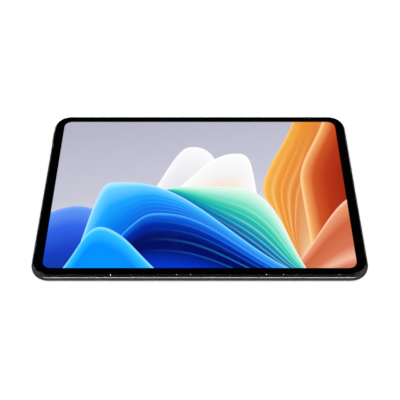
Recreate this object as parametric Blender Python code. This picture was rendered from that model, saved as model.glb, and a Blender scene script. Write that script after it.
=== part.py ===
"""A tablet computer with an 11.3 inch display, modelled as the separate pieces it is put together from.

The origin is the middle of the flat back face, on the outside. X runs along the long side, Y points to the
long edge that holds the front camera, and Z points from the back to the glass. Every number is in
millimetres, and MM turns it into metres when a mesh is made.
"""

import math

import bmesh
import bpy
from mathutils import Vector

MM = 0.001

# Driving dimensions: the whole tablet
BODY_X = 251.8
BODY_Y = 183.2
BODY_Z = 6.9
BODY_CORNER = 14.0
CORNER_STEPS = 10

# Driving dimensions: the lit area of the display
SCREEN_X = 234.2
SCREEN_Y = 167.2
SCREEN_CORNER = 6.5

# Cross-section of the metal housing. An inset is measured inwards from the widest outline.
LOWER_RADIUS = 1.8
SHOULDER_RADIUS = 2.0
SHOULDER_Z = 3.65
RIM_INSET = 1.3
WALL_INSET = 2.6
FLOOR_Z = 0.8

# Stack of layers, from the glass down to the backlight. PANEL_X is half the panel's length.
GLASS_INSET = 1.35
GLASS_Z = (6.05, BODY_Z)
GLASS_CHAMFER = 0.1
GLASS_EDGE_Z = 6.35
GLASS_EDGE_RUN = 1.6
PRINT_INSET = 1.55
PRINT_Z = (5.97, 6.02)
FRAME_Z = (5.62, 5.92)
FRAME_STEP = 0.02
SKIRT_INSET = (2.8, 3.5)
SKIRT_HEIGHT = 0.6
TAPE_INSET = (1.5, 2.5)
TAPE_Z = (5.55, 5.59)
PANEL_X = 118.9
PANEL_Y = (-87.0, 85.0)
PANEL_Z = (5.10, 5.90)
PANEL_CORNER = 6.0
FILMS_LOW_Y = -83.9
FILMS_Z = (4.74, 5.05)
GUIDE_Z = (4.18, 4.69)
LEDS_X = (-110, 110)
LEDS_HIGH_Y = -84.1
LEDS_Z = (4.18, 4.64)
TRAY_Z = (3.86, 5.02)
TRAY_FLOOR_Z = 4.10
TRAY_WALL = 0.25
LAYER_GAP = 0.15
SPREADER_X = (-100, 100)
SPREADER_Y = (-60, 80)
SPREADER_Z = (3.72, 3.80)
DRIVER_X = (-60, 60)
DRIVER_Y = (-84, -77)
DRIVER_Z = (2.95, 3.78)
DISPLAY_FLEX_X = (-4, 4)
DISPLAY_FLEX_Y = (-81, 52)

# Boards, battery and what stands on them. A chip is (middle, size, height), a shield (x range, y range).
BOARD_Z = (2.0, 2.7)
CHIP_Z = 2.76
CHIPS = {
    "processor": ((32, 60), (14, 14), 0.6),
    "storage_chip": ((50, 60), (11.5, 13), 0.65),
    "power_chip": ((-24, 60), (8, 8), 0.6),
    "wireless_chip": ((-56, 70), (8, 8), 0.6),
}
SHIELDS = {
    "processor_shield": ((22, 60), (50, 70)),
    "power_shield": ((-34, -13), (52, 69)),
    "wireless_shield": ((-66, -46), (63, 78)),
}
SHIELD_TOP = 3.66
SHIELD_SHEET = 0.15
BOARD_LEFT = -76
BOARD_RIGHT = 105.6
BOARD_FAR_Y = 83
CAMERA_NOTCH_X = 8.5
USB_BOARD_X = 106.5
USB_BOARD_Y = 14
FLEX_Z = (2.75, 2.90)
FLEX_X = (101.7, 105.3, 113)
FLEX_END_Y = 52
FLEX_HALF_WIDTH = 4
CELL_X = (5.0, 101.0)
CELL_Y = (-62.0, 38.0)
CELL_Z = (0.9, 3.45)
CELL_CORNER = 2.0
CELL_BEVEL = 0.4
BATTERY_BOARD_HALF_X = 60
BATTERY_BOARD_Y = (38.1, 43.0)
BATTERY_BOARD_Z = (0.9, 1.6)

# Openings in the side walls and the pieces that fill them
SIDE_Z = 2.75
CUT_BEYOND = 0.5
KEY_HEIGHT = 2.2
KEY_PROUD = 0.45
KEY_CLEARANCE = 0.15
KEY_TRAVEL = 0.3
FLANGE_THICK = 0.5
NUB_RADIUS = 0.8
POWER_Y = 67.4
POWER_LENGTH = 13.0
POWER_GAP = 0.1
NUB_LENGTH = 0.5
ROCKER_X = -92.0
ROCKER_LENGTH = 24.0
ROCKER_GAP = 0.35
ROCKER_REACH = 8.0
ROCKER_NUB_LENGTH = 0.3
TRAY_X = 88.0
DOOR_LENGTH = 14.0
DOOR_HEIGHT = 2.4
DOOR_THICK = 1.2
DOOR_Z = 2.95
CARD_TRAY_SIZE = (12.6, 17.4)
CARD_TRAY_Z = (2.84, 3.42)
CARD_SIZE = (11.2, 15.0)
CARD_FLOOR_Z = 3.0
READER_DEPTH = (4.5, 19.0)
READER_SHEET = 0.18
READER_GAP = 0.3
PORT_Z = 3.0
PORT_SIZE = (8.94, 3.16)
PORT_WALL = 0.3
PORT_DEPTH = 6.2
PORT_RECESS = 0.3
SLOT_GAP = 0.15
TONGUE_SIZE = (6.66, 0.7)
TONGUE_ROOT = (7.8, 2.1)
SPEAKER_X = (106.5, 121.0)
SPEAKER_Y = 38.0
SPEAKER_Z = (0.9, 3.6)
SPEAKER_HALF = 18.0
NOZZLE_HALF = 8.8
MESH_SIZE = (17.2, 2.2)
HOLES_PER_SPEAKER = 8
HOLE_PITCH = 2.0
HOLE_RADIUS = 0.65
MIC_RADIUS = 0.45
MIC_EDGE_X = 12.0
MIC_SIDE_Y = 10.5
MIC_SIZE = (3.5, 2.6)
MIC_HEIGHT = 0.85

# Cameras
FRONT_CAMERA_Y = 86.9
FRONT_CAMERA_X = (-3.2, 3.2)
FRONT_CAMERA_REACH = (83.4, 88.4)
FRONT_CAMERA_Z = (1.6, 3.2)
FRONT_BARREL = 1.6
EYE_RADIUS = 1.25
REAR_CAMERA_Y = 72.0
REAR_CAMERA_HALF = 4.6
REAR_CAMERA_Z = (1.1, 3.55)
RING_RADIUS = 9.0
RING_PROUD = 0.8
RING_SEAT_Z = 0.4
RING_GAP = 0.15
RING_EYE = 6.6
NECK_RADIUS = 7.4
NECK_EYE = 5.6
LEDGE_Z = -0.15
CAMERA_WINDOW_RADIUS = 6.4

# Antenna windows in the far edge
WINDOW_X = (22.0, 62.0)
WINDOW_Y = 84.5
WINDOW_GAP = 0.08

# Screws, each over its own boss on the floor of the housing
BOSS_RADIUS = 1.9
PILOT_RADIUS = 0.75
SCREW_RADIUS = 0.6
SCREW_END_Z = 1.25
HEAD_RADIUS = 1.4
HEAD_HEIGHT = 0.5
HEAD_BEVEL = (0.2, 0.15)
RECESS_RADIUS = (0.55, 0.4)
RECESS_DEPTH = 0.3
PLATE_GAP = 0.05
BOSS_Z = (0.5, 1.95)
PILOT_Z = (1.1, 2.5)
BRACKET_SHEET = 0.5
BRACKET_FOOT_Z = (2.0, 2.4)
BRACKET_PLATE_Z = (0.9, 3.7)
POWER_FOOT_X = -115.0
POWER_BRACKET_HALF = 8
ROCKER_FOOT_Y = 80.3
ROCKER_BRACKET_HALF = 13
SCREWS = {
    "board_screw_1": (-72.0, 62.0, BOARD_Z[1]),
    "board_screw_2": (-36.0, 48.0, BOARD_Z[1]),
    "board_screw_3": (14.0, 78.0, BOARD_Z[1]),
    "board_screw_4": (97.0, 48.0, BOARD_Z[1]),
    "usb_screw_1": (110.0, 11.0, BOARD_Z[1]),
    "usb_screw_2": (110.0, -11.0, BOARD_Z[1]),
    "power_bracket_screw": (-117.0, POWER_Y, BRACKET_FOOT_Z[1]),
    "volume_bracket_screw": (ROCKER_X, 82.3, BRACKET_FOOT_Z[1]),
}

FINISHES = {
    "metal": ((0.11, 0.11, 0.12), 0.38, 1.0),
    "glass": ((0.02, 0.02, 0.02), 0.05, 0.0),
    "ink": ((0.005, 0.005, 0.005), 0.4, 0.0),
    "display": ((0.35, 0.45, 0.75), 0.2, 0.0),
    "film": ((0.85, 0.87, 0.88), 0.4, 0.0),
    "steel": ((0.55, 0.55, 0.55), 0.3, 1.0),
    "plastic": ((0.03, 0.03, 0.032), 0.5, 0.0),
    "adhesive": ((0.04, 0.04, 0.04), 0.8, 0.0),
    "graphite": ((0.12, 0.12, 0.12), 0.6, 0.2),
    "board": ((0.02, 0.10, 0.05), 0.45, 0.0),
    "flex": ((0.45, 0.20, 0.04), 0.4, 0.0),
    "chip": ((0.02, 0.02, 0.02), 0.35, 0.0),
    "pouch": ((0.05, 0.05, 0.055), 0.35, 0.3),
    "lens": ((0.01, 0.012, 0.02), 0.05, 0.0),
}


# ---------------------------------------------------------------- outlines


def rounded(half_x, half_y, radius, centre=(0.0, 0.0), steps=CORNER_STEPS):
    """A rectangle with round corners, counter-clockwise."""
    points = []
    for quarter in range(4):
        sign_x = 1 if quarter in (0, 3) else -1
        sign_y = 1 if quarter in (0, 1) else -1
        for step in range(steps + 1):
            angle = math.radians(90 * (quarter + step / steps))
            x = centre[0] + sign_x * (half_x - radius) + radius * math.cos(angle)
            y = centre[1] + sign_y * (half_y - radius) + radius * math.sin(angle)
            points.append((x, y))
    return points


def rectangle(x_range, y_range):
    (left, right), (low, high) = x_range, y_range
    return [(left, low), (right, low), (right, high), (left, high)]


def slot(centre, length, height, steps=4):
    """A slot with round ends, its length along the first axis. The middle of each end is kept once."""
    points = rounded(length / 2, height / 2, height / 2, centre, steps)
    repeats = (2 * steps + 2, 4 * steps + 3)
    return [point for i, point in enumerate(points) if i not in repeats]


def circle(centre, radius, steps=12):
    turn = 2 * math.pi / steps
    return [
        (centre[0] + radius * math.cos(turn * i), centre[1] + radius * math.sin(turn * i))
        for i in range(steps)
    ]


def body_ring(inset, z):
    """The tablet's outline, drawn in by inset, as points at height z."""
    outline = rounded(BODY_X / 2 - inset, BODY_Y / 2 - inset, BODY_CORNER - inset)
    return [(x, y, z) for x, y in outline]


def arc(centre, radii, start, end, steps):
    """(inset, z) along an arc. Angles are in degrees, 0 pointing outwards and 90 upwards."""
    points = []
    for step in range(steps + 1):
        angle = math.radians(start + (end - start) * step / steps)
        points.append((centre[0] - radii[0] * math.cos(angle), centre[1] + radii[1] * math.sin(angle)))
    return points


# ---------------------------------------------------------------- solids


def finish(name):
    """The material of that name, made once."""
    made = bpy.data.materials.get(name)
    if made:
        return made
    colour, roughness, metallic = FINISHES[name]
    made = bpy.data.materials.new(name)
    made.use_nodes = True
    shader = made.node_tree.nodes["Principled BSDF"]
    shader.inputs["Base Color"].default_value = (*colour, 1.0)
    shader.inputs["Roughness"].default_value = roughness
    shader.inputs["Metallic"].default_value = metallic
    made.diffuse_color = (*colour, 1.0)
    return made


def add(name, points, faces, material, origin=(0.0, 0.0, 0.0)):
    """A closed object from points in millimetres, with its own origin where it is asked for."""
    mesh = bpy.data.meshes.new(name)
    mesh.from_pydata([(Vector(p) - Vector(origin)) * MM for p in points], [], faces)
    built = bmesh.new()
    built.from_mesh(mesh)
    bmesh.ops.recalc_face_normals(built, faces=built.faces)
    built.to_mesh(mesh)
    built.free()
    obj = bpy.data.objects.new(name, mesh)
    obj.location = Vector(origin) * MM
    mesh.materials.append(finish(material))
    bpy.context.scene.collection.objects.link(obj)
    return obj


def skin(rings, closed=False):
    """Points and faces of the skin through rings of equal count: closed on itself, or capped at both ends."""
    count = len(rings[0])
    points = [p for ring in rings for p in ring]
    faces = []
    for level in range(len(rings) if closed else len(rings) - 1):
        here = level * count
        there = (level + 1) % len(rings) * count
        for i in range(count):
            j = (i + 1) % count
            faces.append((here + i, here + j, there + j, there + i))
    if not closed:
        faces.append(range(count))
        faces.append(range((len(rings) - 1) * count, len(rings) * count))
    return points, faces


def along(axis, outline, w):
    """Outline points placed at w on an axis: X takes (y, z) pairs, Y takes (x, z) and Z takes (x, y)."""
    if axis == "X":
        return [(w, u, v) for u, v in outline]
    if axis == "Y":
        return [(u, w, v) for u, v in outline]
    return [(u, v, w) for u, v in outline]


def prism(name, axis, outline, reach, material, origin=(0.0, 0.0, 0.0)):
    rings = [along(axis, outline, w) for w in reach]
    return add(name, *skin(rings), material, origin)


def stepped(name, axis, sections, material, origin=(0.0, 0.0, 0.0)):
    """A solid through (outline, w) sections of equal count; two at the same w make a shoulder."""
    rings = [along(axis, outline, w) for outline, w in sections]
    return add(name, *skin(rings), material, origin)


def turned(name, axis, centre, profile, material, steps=20, closed=False):
    """A round solid from (radius, w) pairs along an axis, capped at both ends or closed on itself."""
    rings = [along(axis, circle(centre, radius, steps), w) for radius, w in profile]
    return add(name, *skin(rings, closed), material)


def boolean(target, other, operation):
    """Adds or takes away a helper, which stays in the file unseen."""
    other.hide_render = True
    other.display_type = "WIRE"
    modifier = target.modifiers.new(other.name, "BOOLEAN")
    modifier.operation = operation
    modifier.object = other
    modifier.solver = "EXACT"


def cut(target, other):
    boolean(target, other, "DIFFERENCE")


def fuse(target, other):
    boolean(target, other, "UNION")


def smooth_round_sides():
    """Curved sides shade smooth and real edges stay sharp."""
    for obj in bpy.data.objects:
        obj.data.shade_smooth()
        obj.data.set_sharp_from_angle(angle=math.radians(32))


# ---------------------------------------------------------------- housing


def housing_profile():
    """(inset, z) from the back face, round the outside, over the rim and down to the inner floor."""
    rim_angle = math.degrees(math.acos((SHOULDER_RADIUS - RIM_INSET) / SHOULDER_RADIUS))
    lower = arc((LOWER_RADIUS, LOWER_RADIUS), (LOWER_RADIUS, LOWER_RADIUS), -90, 0, 4)
    shoulder = arc((SHOULDER_RADIUS, SHOULDER_Z), (SHOULDER_RADIUS, SHOULDER_RADIUS), 0, rim_angle, 4)
    rim_z = shoulder[-1][1]
    return lower + shoulder + [(WALL_INSET, rim_z), (WALL_INSET, FLOOR_Z)]


def housing_shell(name, material):
    return add(name, *skin([body_ring(inset, z) for inset, z in housing_profile()]), material)


def window_block(name, side, gap):
    """The stretch of the far edge that an antenna window takes up, grown by gap."""
    left, right = sorted((side * WINDOW_X[0], side * WINDOW_X[1]))
    outline = rectangle((left - gap, right + gap), (WINDOW_Y - gap, BODY_Y / 2 + CUT_BEYOND))
    return prism(name, "Z", outline, (-CUT_BEYOND, BODY_Z), "plastic")


def make_rear_housing():
    housing = housing_shell("rear_housing", "metal")
    side_wall = (BODY_X / 2 - WALL_INSET - CUT_BEYOND, BODY_X / 2 + CUT_BEYOND)
    far_wall = (BODY_Y / 2 - WALL_INSET - CUT_BEYOND, BODY_Y / 2 + CUT_BEYOND)
    key_height = KEY_HEIGHT + 2 * KEY_CLEARANCE

    for name, (x, y, _) in SCREWS.items():
        fuse(housing, prism("boss_" + name, "Z", circle((x, y), BOSS_RADIUS, 10), BOSS_Z, "metal"))
        cut(housing, prism("pilot_" + name, "Z", circle((x, y), PILOT_RADIUS, 8), PILOT_Z, "metal"))

    power_slot = slot((POWER_Y, SIDE_Z), POWER_LENGTH + 2 * KEY_CLEARANCE, key_height)
    cut(housing, prism("power_slot", "X", power_slot, (-side_wall[1], -side_wall[0]), "metal"))
    rocker_slot = slot((ROCKER_X, SIDE_Z), ROCKER_LENGTH + 2 * KEY_CLEARANCE, key_height)
    cut(housing, prism("rocker_slot", "Y", rocker_slot, far_wall, "metal"))
    door_slot = slot((TRAY_X, DOOR_Z), DOOR_LENGTH + 2 * SLOT_GAP, DOOR_HEIGHT + 2 * SLOT_GAP)
    cut(housing, prism("door_slot", "Y", door_slot, far_wall, "metal"))
    port_slot = slot((0, PORT_Z), PORT_SIZE[0] + 2 * SLOT_GAP, PORT_SIZE[1] + 2 * SLOT_GAP, 6)
    cut(housing, prism("port_slot", "X", port_slot, side_wall, "metal"))

    for side in (-1, 1):
        reach = sorted((side * side_wall[0], side * side_wall[1]))
        for half in (-1, 1):
            for i in range(HOLES_PER_SPEAKER):
                y = half * SPEAKER_Y + (i - (HOLES_PER_SPEAKER - 1) / 2) * HOLE_PITCH
                hole = circle((y, SIDE_Z), HOLE_RADIUS, 8)
                cut(housing, prism(f"speaker_hole_{side}_{half}_{i}", "X", hole, reach, "metal"))

    cut(housing, prism("mic_hole_edge", "Y", circle((MIC_EDGE_X, SIDE_Z), MIC_RADIUS, 8), far_wall, "metal"))
    cut(housing, prism("mic_hole_side", "X", circle((MIC_SIDE_Y, SIDE_Z), MIC_RADIUS, 8), side_wall, "metal"))
    camera_holes = {
        "camera_seat": (RING_RADIUS, RING_SEAT_Z),
        "camera_hole": (NECK_RADIUS, FLOOR_Z + CUT_BEYOND),
    }
    for name, (radius, top) in camera_holes.items():
        hole = circle((0, REAR_CAMERA_Y), radius + RING_GAP, 24)
        cut(housing, prism(name, "Z", hole, (-CUT_BEYOND, top), "metal"))

    for side, name in ((-1, "left"), (1, "right")):
        cut(housing, window_block("window_gap_" + name, side, WINDOW_GAP))
        window = housing_shell("antenna_window_" + name, "plastic")
        boolean(window, window_block("window_block_" + name, side, 0), "INTERSECT")


def make_screws():
    """Each screw: a round head on the plate it holds, with a driver recess, and a shank in the boss."""
    for name, (x, y, plate_top) in SCREWS.items():
        seat = plate_top + PLATE_GAP
        top = seat + HEAD_HEIGHT
        profile = [
            (SCREW_RADIUS, SCREW_END_Z),
            (SCREW_RADIUS, seat),
            (HEAD_RADIUS, seat),
            (HEAD_RADIUS, top - HEAD_BEVEL[1]),
            (HEAD_RADIUS - HEAD_BEVEL[0], top),
            (RECESS_RADIUS[0], top),
            (RECESS_RADIUS[1], top - RECESS_DEPTH),
        ]
        turned(name, "Z", (x, y), profile, "steel", 10)


# ---------------------------------------------------------------- display


def make_display():
    glass_edge = arc(
        (GLASS_INSET + GLASS_EDGE_RUN, GLASS_EDGE_Z),
        (GLASS_EDGE_RUN, BODY_Z - GLASS_EDGE_Z),
        0,
        90,
        4,
    )
    glass = [
        (GLASS_INSET + GLASS_CHAMFER, GLASS_Z[0]),
        (GLASS_INSET, GLASS_Z[0] + GLASS_CHAMFER),
        *glass_edge,
    ]
    add("cover_glass", *skin([body_ring(inset, z) for inset, z in glass]), "glass")

    screen = rounded(SCREEN_X / 2, SCREEN_Y / 2, SCREEN_CORNER)
    ink = [
        body_ring(PRINT_INSET, PRINT_Z[0]),
        body_ring(PRINT_INSET, PRINT_Z[1]),
        along("Z", screen, PRINT_Z[1]),
        along("Z", screen, PRINT_Z[0]),
    ]
    bezel_print = add("bezel_print", *skin(ink, closed=True), "ink")
    eye = circle((0, FRONT_CAMERA_Y), EYE_RADIUS, 16)
    cut(bezel_print, prism("bezel_eye", "Z", eye, (PRINT_Z[0] - CUT_BEYOND, PRINT_Z[1] + CUT_BEYOND), "ink"))

    middle_y = (PANEL_Y[0] + PANEL_Y[1]) / 2
    half_y = (PANEL_Y[1] - PANEL_Y[0]) / 2

    def panel_outline(grow, steps=CORNER_STEPS):
        return rounded(PANEL_X + grow, half_y + grow, PANEL_CORNER + grow, (0, middle_y), steps)

    hole = panel_outline(2 * LAYER_GAP)
    frame = [
        body_ring(GLASS_INSET, FRAME_Z[0]),
        body_ring(GLASS_INSET, FRAME_Z[1]),
        along("Z", hole, FRAME_Z[1]),
        along("Z", hole, FRAME_Z[0] - FRAME_STEP),
        body_ring(SKIRT_INSET[1], FRAME_Z[0] - FRAME_STEP),
        body_ring(SKIRT_INSET[1], FRAME_Z[0] - SKIRT_HEIGHT),
        body_ring(SKIRT_INSET[0], FRAME_Z[0] - SKIRT_HEIGHT),
        body_ring(SKIRT_INSET[0], FRAME_Z[0]),
    ]
    display_frame = add("display_frame", *skin(frame, closed=True), "plastic")
    barrel_room = circle((0, FRONT_CAMERA_Y), FRONT_BARREL + 0.2, 16)
    cut(display_frame, prism("frame_eye", "Z", barrel_room, (SHIELD_TOP, BODY_Z), "plastic"))

    tape = [
        body_ring(TAPE_INSET[0], TAPE_Z[0]),
        body_ring(TAPE_INSET[0], TAPE_Z[1]),
        body_ring(TAPE_INSET[1], TAPE_Z[1]),
        body_ring(TAPE_INSET[1], TAPE_Z[0]),
    ]
    add("display_adhesive", *skin(tape, closed=True), "adhesive")

    prism("lcd_panel", "Z", panel_outline(0), PANEL_Z, "display")
    inside = TRAY_WALL + LAYER_GAP
    films_half_y = (PANEL_Y[1] - inside - FILMS_LOW_Y) / 2
    films_middle = (0, films_half_y + FILMS_LOW_Y)
    films = rounded(PANEL_X - inside, films_half_y, PANEL_CORNER - inside, films_middle, 4)
    prism("optical_films", "Z", films, FILMS_Z, "film")
    prism("light_guide", "Z", films, GUIDE_Z, "film")
    leds = rectangle(LEDS_X, (PANEL_Y[0] + inside, LEDS_HIGH_Y))
    prism("led_strip", "Z", leds, LEDS_Z, "film")

    tray = [
        (panel_outline(0, 5), TRAY_Z[0]),
        (panel_outline(0, 5), TRAY_Z[1]),
        (panel_outline(-TRAY_WALL, 5), TRAY_Z[1]),
        (panel_outline(-TRAY_WALL, 5), TRAY_FLOOR_Z),
    ]
    stepped("backlight_tray", "Z", tray, "steel")
    prism("heat_spreader", "Z", rectangle(SPREADER_X, SPREADER_Y), SPREADER_Z, "graphite")

    prism("display_driver_board", "Z", rectangle(DRIVER_X, DRIVER_Y), DRIVER_Z, "board")
    prism("display_flex", "Z", rectangle(DISPLAY_FLEX_X, DISPLAY_FLEX_Y), FLEX_Z, "flex")


# ---------------------------------------------------------------- boards


def shield(name, x_range, y_range):
    """A pressed tin lid, open towards the board."""
    outer = rectangle(x_range, y_range)
    inner = rectangle(
        (x_range[0] + SHIELD_SHEET, x_range[1] - SHIELD_SHEET),
        (y_range[0] + SHIELD_SHEET, y_range[1] - SHIELD_SHEET),
    )
    ceiling = SHIELD_TOP - SHIELD_SHEET
    sections = [(outer, SHIELD_TOP), (outer, CHIP_Z), (inner, CHIP_Z), (inner, ceiling)]
    stepped(name, "Z", sections, "steel")


def chip(name, centre, size, height, material="chip"):
    half_x, half_y = size[0] / 2, size[1] / 2
    outline = rectangle(
        (centre[0] - half_x, centre[0] + half_x),
        (centre[1] - half_y, centre[1] + half_y),
    )
    return prism(name, "Z", outline, (CHIP_Z, CHIP_Z + height), material)


def drill(board, keys):
    """Clearance holes for the screws that hold a board."""
    for key in keys:
        x, y, _ = SCREWS[key]
        cut(board, prism("drill_" + key, "Z", circle((x, y), PILOT_RADIUS, 8), (1, 4), "board"))


def make_boards():
    """The main board, narrower at the left and notched round the rear camera, and the socket's board."""
    edge = [
        (BOARD_LEFT, 58),
        (-40, 58),
        (-40, 44),
        (BOARD_RIGHT, 44),
        (BOARD_RIGHT, BOARD_FAR_Y),
        (CAMERA_NOTCH_X, BOARD_FAR_Y),
        (CAMERA_NOTCH_X, 62),
        (-CAMERA_NOTCH_X, 62),
        (-CAMERA_NOTCH_X, BOARD_FAR_Y),
        (BOARD_LEFT, BOARD_FAR_Y),
    ]
    main_board = prism("main_board", "Z", edge, BOARD_Z, "board")
    drill(main_board, [f"board_screw_{i}" for i in (1, 2, 3, 4)])
    for name, (centre, size, height) in CHIPS.items():
        chip(name, centre, size, height)
    for name, (x_range, y_range) in SHIELDS.items():
        shield(name, x_range, y_range)
    chip("microphone_1", (MIC_EDGE_X, 81.2), MIC_SIZE, MIC_HEIGHT, "steel")

    notch = PORT_SIZE[0] / 2 + 0.3
    inner = BODY_X / 2 - PORT_RECESS - PORT_DEPTH - 0.3
    right = BODY_X / 2 - WALL_INSET - 0.2
    edge = [
        (USB_BOARD_X, -USB_BOARD_Y),
        (right, -USB_BOARD_Y),
        (right, -notch),
        (inner, -notch),
        (inner, notch),
        (right, notch),
        (right, USB_BOARD_Y),
        (USB_BOARD_X, USB_BOARD_Y),
    ]
    usb_board = prism("usb_board", "Z", edge, BOARD_Z, "board")
    drill(usb_board, ("usb_screw_1", "usb_screw_2"))
    chip("microphone_2", (121.2, MIC_SIDE_Y), MIC_SIZE[::-1], MIC_HEIGHT, "steel")

    left, bend, right = FLEX_X
    ribbon = [
        (left, -FLEX_HALF_WIDTH),
        (right, -FLEX_HALF_WIDTH),
        (right, FLEX_HALF_WIDTH),
        (bend, FLEX_HALF_WIDTH),
        (bend, FLEX_END_Y),
        (left, FLEX_END_Y),
    ]
    prism("main_flex", "Z", ribbon, FLEX_Z, "flex")


def make_battery():
    for side, name in ((-1, "left"), (1, "right")):
        middle = (side * (CELL_X[0] + CELL_X[1]) / 2, (CELL_Y[0] + CELL_Y[1]) / 2)
        half_x = (CELL_X[1] - CELL_X[0]) / 2
        half_y = (CELL_Y[1] - CELL_Y[0]) / 2
        full = rounded(half_x, half_y, CELL_CORNER, middle, 3)
        drawn_in = rounded(half_x - CELL_BEVEL, half_y - CELL_BEVEL, CELL_CORNER - CELL_BEVEL, middle, 3)
        sections = [
            (drawn_in, CELL_Z[0]),
            (full, CELL_Z[0] + CELL_BEVEL),
            (full, CELL_Z[1] - CELL_BEVEL),
            (drawn_in, CELL_Z[1]),
        ]
        stepped("battery_cell_" + name, "Z", sections, "pouch")
    strip = rectangle((-BATTERY_BOARD_HALF_X, BATTERY_BOARD_HALF_X), BATTERY_BOARD_Y)
    prism("battery_board", "Z", strip, BATTERY_BOARD_Z, "board")


def make_port():
    """The charging socket: a drawn steel shell, open outwards, round a tongue with the contacts."""
    face = BODY_X / 2 - PORT_RECESS
    back = face - PORT_DEPTH
    length, height = PORT_SIZE
    outer = slot((0, PORT_Z), length, height, 6)
    inner = slot((0, PORT_Z), length - 2 * PORT_WALL, height - 2 * PORT_WALL, 6)
    sections = [(outer, back), (outer, face), (inner, face), (inner, back + PORT_WALL)]
    stepped("usb_c_shell", "X", sections, "steel")

    root = rounded(TONGUE_ROOT[0] / 2, TONGUE_ROOT[1] / 2, 0.6, (0, PORT_Z), 2)
    half_length, half_height = TONGUE_SIZE[0] / 2, TONGUE_SIZE[1] / 2
    blade = rounded(half_length, half_height, 0.3, (0, PORT_Z), 2)
    tip = rounded(half_length - 0.2, half_height - 0.15, 0.15, (0, PORT_Z), 2)
    start = back + PORT_WALL + PLATE_GAP
    step = start + 1.8
    sections = [
        (root, start),
        (root, step),
        (blade, step),
        (blade, face - 1.0),
        (tip, face - 0.8),
    ]
    stepped("usb_c_tongue", "X", sections, "plastic")


def make_speakers():
    """Four speaker boxes, each with a nozzle to its row of holes and a dust mesh between them."""
    wall = BODY_X / 2 - WALL_INSET
    number = 0
    for side in (-1, 1):
        for half in (1, -1):
            number += 1
            y = half * SPEAKER_Y
            box_in, box_out = side * SPEAKER_X[0], side * SPEAKER_X[1]
            nozzle = side * (wall - 0.6)
            outline = [
                (box_in, y - SPEAKER_HALF),
                (box_out, y - SPEAKER_HALF),
                (box_out, y - NOZZLE_HALF),
                (nozzle, y - NOZZLE_HALF),
                (nozzle, y + NOZZLE_HALF),
                (box_out, y + NOZZLE_HALF),
                (box_out, y + SPEAKER_HALF),
                (box_in, y + SPEAKER_HALF),
            ]
            prism(f"speaker_{number}", "Z", outline, SPEAKER_Z, "plastic")
            reach = sorted((side * (wall - 0.5), side * (wall - 0.1)))
            dust_mesh = rounded(MESH_SIZE[0] / 2, MESH_SIZE[1] / 2, 0.5, (y, SIDE_Z), 2)
            prism(f"speaker_mesh_{number}", "X", dust_mesh, reach, "steel")


# ---------------------------------------------------------------- keys and tray


def key_sections(direction, surface, length, gap):
    """(length, height, w) of a side key: its crowned face, its sides and the flange that retains it."""
    face = surface + KEY_PROUD
    flange = surface - WALL_INSET - gap
    return [
        (length - 0.5, KEY_HEIGHT - 0.5, direction * face),
        (length - 0.1, KEY_HEIGHT - 0.1, direction * (face - 0.12)),
        (length, KEY_HEIGHT, direction * (face - 0.3)),
        (length, KEY_HEIGHT, direction * flange),
        (length + 1.6, KEY_HEIGHT + 0.8, direction * flange),
        (length + 1.6, KEY_HEIGHT + 0.8, direction * (flange - FLANGE_THICK)),
    ]


def bracket_shape(plate, foot, inwards):
    """A bent steel plate behind a key: upright at plate, with its foot reaching inwards to foot."""
    back = plate + inwards * BRACKET_SHEET
    low, high = BRACKET_PLATE_Z
    return [
        (plate, low),
        (back, low),
        (back, BRACKET_FOOT_Z[0]),
        (foot, BRACKET_FOOT_Z[0]),
        (foot, BRACKET_FOOT_Z[1]),
        (back, BRACKET_FOOT_Z[1]),
        (back, high),
        (plate, high),
    ]


def make_power_key():
    """The power key, the dome switch behind it and the bracket that carries the switch."""
    surface = BODY_X / 2
    sections = [
        (slot((POWER_Y, SIDE_Z), length, height), x)
        for length, height, x in key_sections(-1, surface, POWER_LENGTH, POWER_GAP)
    ]
    pivot = (-surface, POWER_Y, SIDE_Z)
    key = stepped("power_button", "X", sections, "metal", pivot)
    flange_back = -(surface - WALL_INSET - POWER_GAP - FLANGE_THICK)
    nub = circle((POWER_Y, SIDE_Z), NUB_RADIUS, 8)
    fuse(key, prism("power_nub", "X", nub, (flange_back - 0.2, flange_back + NUB_LENGTH), "metal"))

    dome = flange_back + NUB_LENGTH + KEY_TRAVEL + PLATE_GAP
    sections = [
        (circle((POWER_Y, SIDE_Z), 1.2, 12), dome),
        (circle((POWER_Y, SIDE_Z), 1.7, 12), dome + 0.25),
        (circle((POWER_Y, SIDE_Z), 1.7, 12), dome + 0.45),
    ]
    stepped("power_switch", "X", sections, "steel")

    shape = bracket_shape(dome + 0.5, POWER_FOOT_X, 1)
    reach = (POWER_Y - POWER_BRACKET_HALF, POWER_Y + POWER_BRACKET_HALF)
    bracket = prism("power_bracket", "Y", shape, reach, "steel")
    drill(bracket, ("power_bracket_screw",))


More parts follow.
